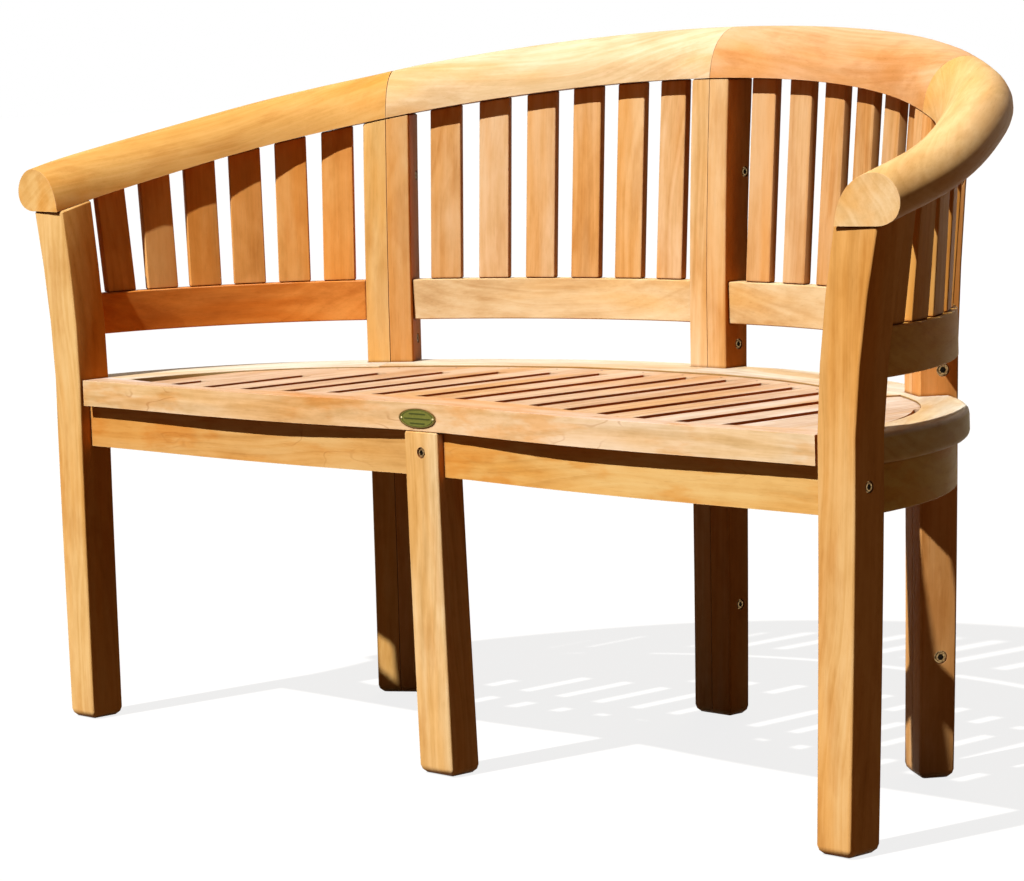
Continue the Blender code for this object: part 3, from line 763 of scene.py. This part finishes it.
def socketed(name, outline, size):
    """Round head with a hexagon socket, coloured near-black as painted shade. The outline is the profile
    outside the socket.
    """
    hole = socket_radius * size
    socket = (
        (hole + bolt_ease, head_height),
        (hole, head_height - bolt_ease * 0.5),
        (hole, head_height - socket_depth),
        (hole * 0.5, head_height - socket_depth - bolt_ease * 0.5),
    )
    mesh = ring_mesh(name, outline + socket, bolt_sides, hexagons=len(socket))
    mesh.materials.append(metals["bolt_steel"])
    mesh.materials.append(metals["socket_shade_and_nail_steel"])
    for face in mesh.polygons:
        if Vector(face.center).xy.length < hole:
            face.material_index = 1
    return mesh


def bolt(name, node, spot, outward, size=slim_bolt):
    """Sunk bolt head with a hexagon socket, on its washer."""
    seat = sink(name + "_recess", node, spot, outward, size)
    edge, rim = washer_radius * size, head_radius * size
    washer = ring_mesh(name + "_washer", (
        (edge - bolt_ease, 0),
        (edge, bolt_ease * 0.5),
        (edge - bolt_ease * 0.5, washer_thickness),
        (rim * washer_inner_share, washer_thickness),
    ), bolt_sides)
    put(name + "_washer", washer, metals["bolt_steel"], seat, outward)
    head = socketed(name + "_head", (
        (rim - bolt_ease, 0),
        (rim, bolt_ease),
        (rim, head_height - bolt_ease * 2),
        (rim - bolt_ease, head_height - bolt_ease * 0.5),
        (rim - bolt_ease * 3, head_height),
    ), size)
    lift = Vector(outward).normalized() * (washer_thickness + washer_gap)
    put(name + "_head", head, None, seat + lift, outward)


def nut(name, node, spot, outward, size):
    """Sunk round barrel nut at the far end of a bolt."""
    seat = sink(name + "_recess", node, spot, outward, size)
    edge = washer_radius * size
    face = socketed(name + "_face", (
        (edge - bolt_ease, 0),
        (edge, bolt_ease),
        (edge, head_height - bolt_ease * 2),
        (edge - bolt_ease, head_height),
    ), size)
    put(name + "_face", face, None, seat, outward)


def post_bolt(name, near, far, across, height, depth_share, size):
    """Bolt through a pair of half posts. across points out of the near half, where the head sits."""
    low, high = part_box(near)
    across = Vector(across).normalized()
    back_way = Vector((0, 0, 1)).cross(across)
    middle = (low + high) * 0.5
    middle.z = height
    front = surface_spot(near, middle - back_way * past_post, back_way)
    rear = surface_spot(near, middle + back_way * past_post, -back_way)
    centre = front.lerp(rear, depth_share)
    bolt(name, near, surface_spot(near, centre + across * past_near_half, -across), across, size)
    nut(name + "_nut", far, surface_spot(far, centre - across * past_far_half, across), -across, size)


def bolt_posts():
    """Three bolts through each pair of back posts."""
    level, tilt = math.cos(back_post_turn), math.sin(back_post_turn)
    pairs = (
        ("centre", "centre_post_right", "centre_post_left", (1, 0, 0), slim_bolt),
        ("right", "back_post_right_outer", "back_post_right_inner", (level, -tilt, 0), stout_bolt),
        ("left", "back_post_left_inner", "back_post_left_outer", (level, tilt, 0), slim_bolt),
    )
    for word, near, far, across, size in pairs:
        for place, height, depth_share in zip(("low", "middle", "high"), bolt_heights, bolt_depth_shares):
            post_bolt("bolt_" + word + "_" + place, near, far, across, height, depth_share, size)


def bolt_front():
    """One bolt in each arm post and one in the middle front leg."""
    for word, side in (("left", -1), ("right", 1)):
        post_name = "arm_post_" + word
        low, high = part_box(post_name)
        aim = Vector((side * far_off, (low.y + high.y) * 0.5, arm_bolt_height))
        bolt("bolt_arm_" + word, post_name, surface_spot(post_name, aim, (-side, 0, 0)), (side, 0, 0))
    leg_spot = surface_spot("front_leg_centre", (leg_bolt_x, -outside, leg_bolt_height), (0, 1, 0))
    bolt("bolt_front_leg", "front_leg_centre", leg_spot, (0, -1, 0))


def nail_slats():
    """A nail in the back end of each seat slat."""
    for i in range(slot_count - 1):
        x = slot_shift + (i - (slot_count - 2) * 0.5) * slat_pitch
        rear = surface_spot("seat_slat_panel", (x, outside, seat_level), (0, -1, 0))
        spot = surface_spot("seat_slat_panel", (x, rear.y - nail_set, outside), (0, 0, -1))
        nail_name = "seat_nail_" + str(i + 1)
        nail = ring_mesh(nail_name, (
            (nail_radius, -nail_rise),
            (nail_radius, nail_rise * 0.5),
            (nail_radius * nail_top_share, nail_rise),
        ), small_sides)
        put(nail_name, nail, metals["socket_shade_and_nail_steel"], spot, (0, 0, 1))


def board_spot(x, z):
    """Point of the front face of the seat board."""
    return surface_spot("seat_front_board", (x, -outside, z), (0, 1, 0))


def hug_board(mesh, centre_z):
    """Bend a part of the plate, made flat, onto the front face of the seat board."""
    for vertex in mesh.vertices:
        x = plate_x + vertex.co.x
        vertex.co = (x, board_spot(x, centre_z).y - vertex.co.z, centre_z + vertex.co.y)
    mesh.flip_normals()


def oval_mesh(name, profile, open_middle):
    """Oval body of the plate from rings of half height and rise."""
    stretch = plate_width / plate_height
    return ring_mesh(name, profile, plate_sides, stretch=stretch, open_middle=open_middle)


def hoop(name, outer, inner, bottom, top):
    """Oval hoop of the plate, flat on the board, with its upper edges eased."""
    return oval_mesh(name, (
        (outer, bottom),
        (outer, top - plate_ease),
        (outer - plate_ease, top),
        (inner + plate_ease, top),
        (inner, top - plate_ease),
        (inner, bottom),
    ), True)


def bar_mesh(name, rise, length, bottom, top):
    """Plain level bar across the field of the plate, with its ends square."""
    body = bmesh.new()
    rows = []
    for i in range(bar_steps + 1):
        x = length * (i / bar_steps - 0.5)
        corners = ((-1, bottom), (1, bottom), (1, top), (-1, top))
        rows.append([body.verts.new((x, rise + side * bar_width * 0.5, level)) for side, level in corners])
    join_rows(body, zip(rows, rows[1:]))
    body.faces.new(rows[0][::-1])
    body.faces.new(rows[-1])
    return finished_mesh(name, body)


def build_plate():
    """Bare oval plate with two pins on the front board."""
    board_low, board_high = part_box("seat_front_board")
    plate_z = (board_low.z + board_high.z) * 0.5 - plate_drop
    half = plate_height * 0.5
    field_edge = half - plate_rim - plate_gap
    field_top = plate_thickness - plate_dish
    line_top = field_top + plate_ease * 2
    field = [(field_edge * share, plate_gap) for share in field_shares]
    field += [(field_edge * share, field_top + plate_gap) for share in reversed(field_shares)]
    line_outer, line_inner = [half * share for share in line_shares]
    rim = hoop("plate_rim", half, half - plate_rim, plate_gap, plate_thickness)
    line = hoop("plate_line", line_outer, line_inner, field_top + plate_ease, line_top)
    parts = [
        ("oval_plate_rim", rim, metals["plate_brass"]),
        ("oval_plate_field", oval_mesh("plate_field", field, False), enamels["plate_enamel"]),
        ("oval_plate_line", line, enamels["plate_dark_enamel"]),
    ]
    for i, (rise_share, length_share) in enumerate(bar_shares):
        rise, length = half * rise_share, plate_width * length_share
        bar = bar_mesh("plate_bar_" + str(i + 1), rise, length, field_top + plate_ease, line_top)
        parts.append(("oval_plate_bar_" + str(i + 1), bar, enamels["plate_dark_enamel"]))
    for piece_name, mesh, material in parts:
        hug_board(mesh, plate_z)
        piece = add_object(piece_name, mesh, material)
        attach(piece, "root")
    for word, side in (("left", -1), ("right", 1)):
        spot = board_spot(plate_x + side * (plate_width * 0.5 - pin_inset), plate_z)
        profile = [(pin_radius * wide, pin_height * rise) for wide, rise in pin_profile_shares]
        pin = ring_mesh("plate_pin_" + word, profile, small_sides)
        put("plate_pin_" + word, pin, metals["pin_brass"], spot - Vector((0, field_top, 0)), (0, -1, 0))


def build_floor():
    """Pale floor that keeps the shadow of the bench."""
    mesh = bpy.data.meshes.new("floor")
    corners = [(x * floor_reach, y * floor_reach, 0) for x, y in ((-1, -1), (1, -1), (1, 1), (-1, 1))]
    mesh.from_pydata(corners, [], [(0, 1, 2, 3)])
    material, tree, surface = new_tree("floor_paper")
    seen = seen_directly(tree)
    shade = mix_colour(tree, "MIX", seen, floor_bounce, floor_colour)
    tree.links.new(shade, surface.inputs["Base Color"])
    surface.inputs["Roughness"].default_value = 1
    surface.inputs["Specular IOR Level"].default_value = 0
    paper = tree.nodes.new("ShaderNodeEmission")
    paper.inputs["Color"].default_value = white
    mix = tree.nodes.new("ShaderNodeMixShader")
    tree.links.new(calculate(tree, "MULTIPLY", seen, 1 - shadow_share), mix.inputs[0])
    tree.links.new(surface.outputs[0], mix.inputs[1])
    tree.links.new(paper.outputs[0], mix.inputs[2])
    tree.links.new(mix.outputs[0], tree.nodes["Material Output"].inputs["Surface"])
    floor = add_object("floor", mesh, material)


def build_world():
    """Weak warm sky for the light, and plain white for what is seen."""
    world = bpy.data.worlds.new("studio")
    bpy.context.scene.world = world
    world.use_nodes = True
    tree = world.node_tree
    sky = tree.nodes["Background"]
    sky.inputs["Color"].default_value = (*sky_colour, 1)
    sky.inputs["Strength"].default_value = sky_strength
    backdrop = tree.nodes.new("ShaderNodeBackground")
    backdrop.inputs["Color"].default_value = white
    backdrop.inputs["Strength"].default_value = 1
    choice = tree.nodes.new("ShaderNodeMixShader")
    tree.links.new(seen_directly(tree), choice.inputs[0])
    tree.links.new(sky.outputs[0], choice.inputs[1])
    tree.links.new(backdrop.outputs[0], choice.inputs[2])
    tree.links.new(choice.outputs[0], tree.nodes["World Output"].inputs["Surface"])


def build_lights():
    """The sun and the rear light, each shining from its azimuth and height."""
    for name, (azimuth, height, spread, strength, colour) in lights.items():
        light_data = bpy.data.lights.new(name, "SUN")
        light_data.energy = strength
        light_data.angle = math.radians(spread)
        light_data.color = colour
        light = bpy.data.objects.new(name, light_data)
        bpy.context.scene.collection.objects.link(light)
        turned, raised = math.radians(azimuth), math.radians(height)
        level = math.cos(raised)
        source = Vector((math.sin(turned) * level, -math.cos(turned) * level, math.sin(raised)))
        light.rotation_mode = "QUATERNION"
        light.rotation_quaternion = source.to_track_quat("Z", "Y")


def build_camera():
    """Camera at the place and angle of the photograph."""
    camera_data = bpy.data.cameras.new("camera")
    camera_data.lens = camera_lens
    camera_data.sensor_width = camera_sensor
    camera = bpy.data.objects.new("camera", camera_data)
    bpy.context.scene.collection.objects.link(camera)
    forward = Vector((-math.sin(camera_azimuth) * math.cos(camera_pitch),
                      math.cos(camera_azimuth) * math.cos(camera_pitch), -math.sin(camera_pitch)))
    level_right = Vector((math.cos(camera_azimuth), math.sin(camera_azimuth), 0))
    level_up = level_right.cross(forward)
    right = math.cos(camera_roll) * level_right + math.sin(camera_roll) * level_up
    up = math.cos(camera_roll) * level_up - math.sin(camera_roll) * level_right
    facing = Matrix((right, up, -forward)).transposed().to_4x4()
    camera.matrix_world = Matrix.Translation(camera_place) @ facing
    bpy.context.scene.camera = camera


# Materials and shared groups
teak_grain = grain_group()
smooth_faces = smoothing_group()
metals = {name: metal(name, *look) for name, look in metal_looks.items()}
enamels = {name: enamel(name, *look) for name, look in enamel_looks.items()}
search_trees = {}

# The bench, its fasteners and its plate
for node_name in sorted(nodes):
    dress(node_name)
bolt_posts()
bolt_front()
nail_slats()
build_plate()
for node_name in sorted(nodes):
    finish_shading(node_name)

# The studio
build_floor()
build_world()
build_lights()
build_camera()
bpy.context.scene.view_settings.view_transform = "Standard"
